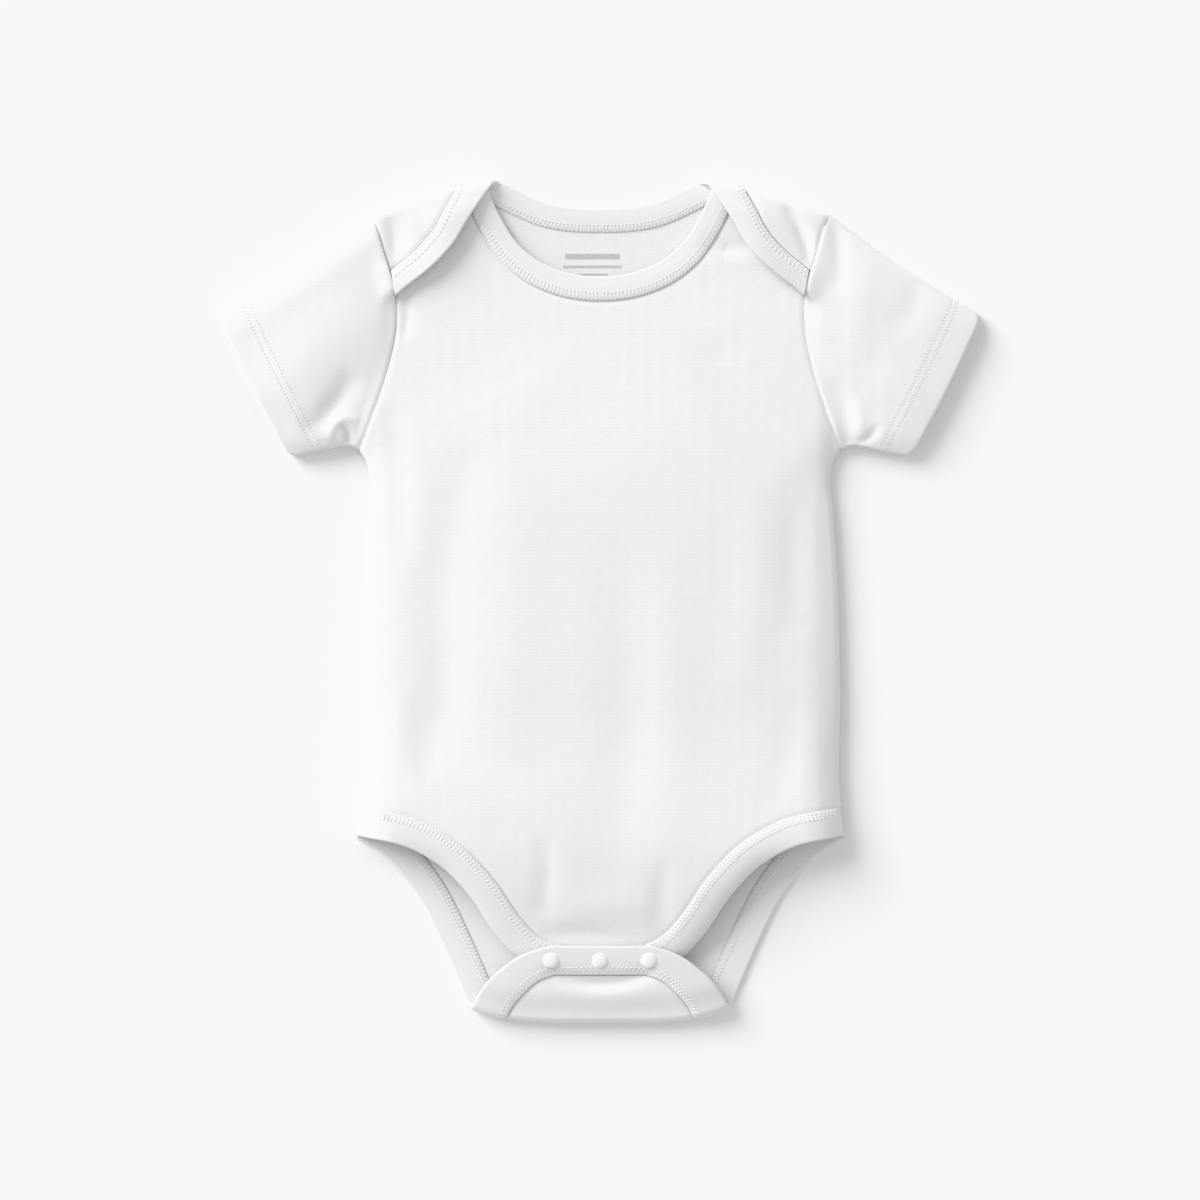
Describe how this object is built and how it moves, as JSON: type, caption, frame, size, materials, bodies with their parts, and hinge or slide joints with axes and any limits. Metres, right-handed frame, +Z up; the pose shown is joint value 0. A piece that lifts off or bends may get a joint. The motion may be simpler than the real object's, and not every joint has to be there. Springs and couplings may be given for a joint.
{
  "type": "baby bodysuit",
  "caption": "Short-sleeved white cotton baby bodysuit with envelope shoulders, rib-bound neck and leg openings and a snapped crotch flap, laid flat on its back",
  "frame": {"origin": "middle of the garment's outline, on the surface it lies on", "axes": "+Z up out of the surface, +Y from the crotch to the neck, +X to the right as seen from above with the neck away from the viewer"},
  "size_m": [0.398, 0.439, 0.0087],
  "materials": {
    "jersey": "matte white cotton interlock jersey",
    "rib": "matte white fine rib binding",
    "snap": "satin white domed snap"
  },
  "bodies": {
    "root": {"front_panel": "jersey", "back_panel": "jersey", "sleeve_left": "jersey", "sleeve_right": "jersey", "neck_binding_front": "rib", "neck_binding_back": "rib", "leg_binding_front": "rib", "leg_binding_back": "rib", "snap_cap_1": "snap", "snap_cap_2": "snap", "snap_cap_3": "snap", "snap_socket_1": "snap", "snap_socket_2": "snap", "snap_socket_3": "snap", "snap_stud_1": "snap", "snap_stud_2": "snap", "snap_stud_3": "snap"}
  },
  "joints": []
}
